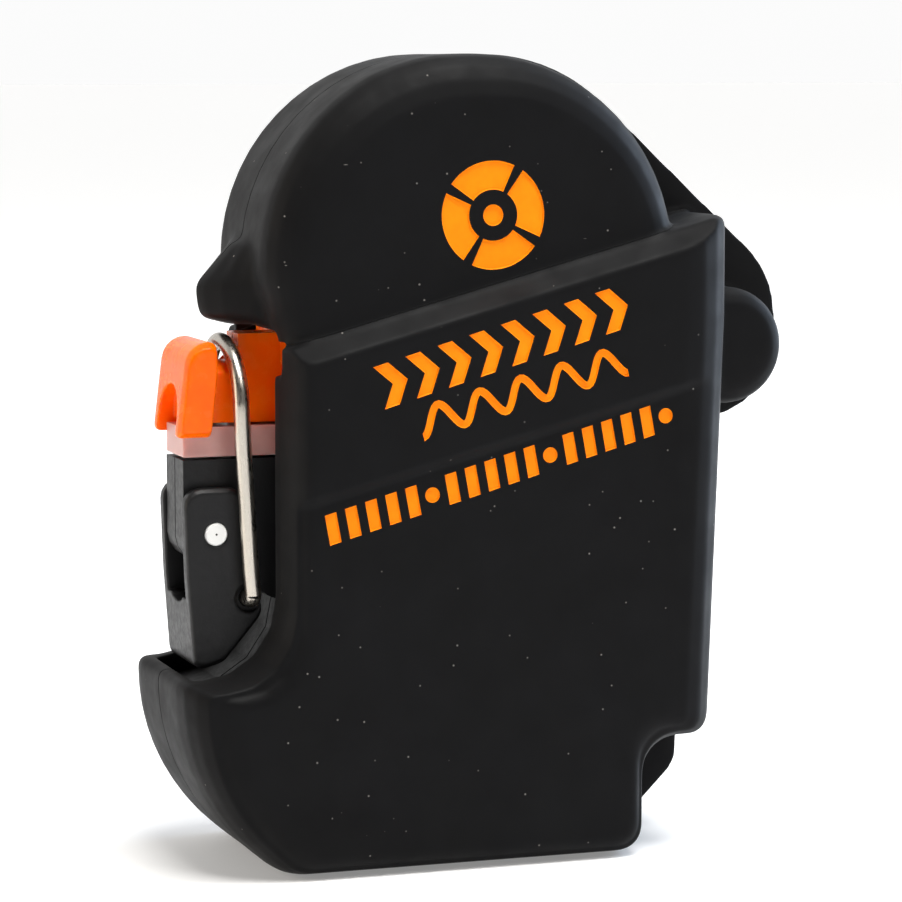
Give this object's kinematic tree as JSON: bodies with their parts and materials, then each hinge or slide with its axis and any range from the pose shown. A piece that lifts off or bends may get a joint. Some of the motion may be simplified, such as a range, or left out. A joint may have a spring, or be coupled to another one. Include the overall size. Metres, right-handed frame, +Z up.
{
  "type": "emergency position beacon",
  "caption": "Hinged marine rescue beacon in a moulded silicone pouch, with an over-centre wire latch, guarded distress button, coiled antenna and belt loop.",
  "frame": {"origin": "centre of the flat base on the plane where the front and back halves meet", "axes": "+X towards the hinge, +Y towards the belt loop, +Z up"},
  "size_m": [0.0826, 0.0409, 0.0997],
  "materials": {
    "silicone_black": "matte moulded silicone",
    "plastic_black": "satin moulded plastic",
    "plastic_orange": "glossy translucent plastic",
    "seal_milky": "translucent milky elastomer",
    "steel": "drawn and machined stainless steel",
    "nylon_white": "satin nylon",
    "button_red": "satin plastic",
    "button_yellow": "satin plastic",
    "lens_clear": "clear polycarbonate",
    "board_green": "solder mask over glass-fibre board",
    "chip_black": "moulded package",
    "ceramic": "unglazed ceramic",
    "contact_plated": "plated spring brass",
    "cell_wrap": "printed shrink sleeve"
  },
  "bodies": {
    "device": {"pouch_body_front": "silicone_black", "pouch_body_back": "silicone_black", "case_front_shell": "plastic_black", "case_back_shell": "plastic_black", "gasket": "seal_milky", "deck_plate": "plastic_black", "hinge_pin": "steel", "latch_pin": "nylon_white", "battery_cell_left": "cell_wrap", "battery_cell_right": "cell_wrap", "contact_spring_left": "contact_plated", "contact_spring_right": "contact_plated", "contact_bridge": "contact_plated", "battery_cradle": "plastic_black", "main_board": "board_green", "radio_shield": "steel", "processor_chip": "chip_black", "gps_board": "board_green", "gps_patch_antenna": "ceramic", "speaker": "chip_black", "distress_collar": "seal_milky", "test_collar": "seal_milky", "strobe_reflector": "steel", "strobe_lens": "lens_clear", "flap_rod": "steel", "flap_bracket_left": "plastic_black", "flap_bracket_right": "plastic_black", "antenna_post": "plastic_black", "antenna_hub": "plastic_black", "antenna_coil": "steel", "antenna_carrier": "plastic_black", "case_screw_1": "steel", "case_screw_2": "steel", "case_screw_3": "steel", "case_screw_4": "steel"},
    "cap": {"pouch_hood_front": "silicone_black", "pouch_hood_back": "silicone_black", "cap_front_shell": "plastic_orange", "cap_back_shell": "plastic_orange", "cap_catch": "plastic_orange", "hinge_bushing": "nylon_white", "cap_screw_1": "steel", "cap_screw_2": "steel"},
    "latch_lever": {"latch_lever": "plastic_black"},
    "latch_bail": {"bail_wire": "steel"},
    "distress_key": {"distress_button": "button_red"},
    "test_key": {"test_button": "button_yellow"},
    "guard": {"button_flap": "lens_clear"}
  },
  "joints": [
    {"name": "cap_hinge", "type": "hinge", "parent": "device", "child": "cap", "pos_m": [0.0344, 0, 0.063], "axis": [0, 1, 0], "range_deg": [0, 112]},
    {"name": "latch_pivot", "type": "hinge", "parent": "device", "child": "latch_lever", "pos_m": [-0.0323, 0, 0.0416], "axis": [0, 1, 0], "range_deg": [0, 75]},
    {"name": "bail_pivot", "type": "hinge", "parent": "latch_lever", "child": "latch_bail", "pos_m": [-0.0282, 0, 0.0336], "axis": [0, 1, 0], "range_deg": [-55, 0]},
    {"name": "distress_press", "type": "slide", "parent": "device", "child": "distress_key", "axis": [0, 0, -1], "range_m": [0, 0.0012], "stiffness_N_per_m": 600},
    {"name": "test_press", "type": "slide", "parent": "device", "child": "test_key", "axis": [0, 0, -1], "range_m": [0, 0.0012], "stiffness_N_per_m": 400},
    {"name": "guard_hinge", "type": "hinge", "parent": "device", "child": "guard", "pos_m": [-0.0133, 0.0075, 0.0594], "axis": [-1, 0, 0], "range_deg": [0, 80]}
  ],
  "couplings": [
    {"joint": "bail_pivot", "follows": "latch_pivot", "ratio": -0.725}
  ]
}
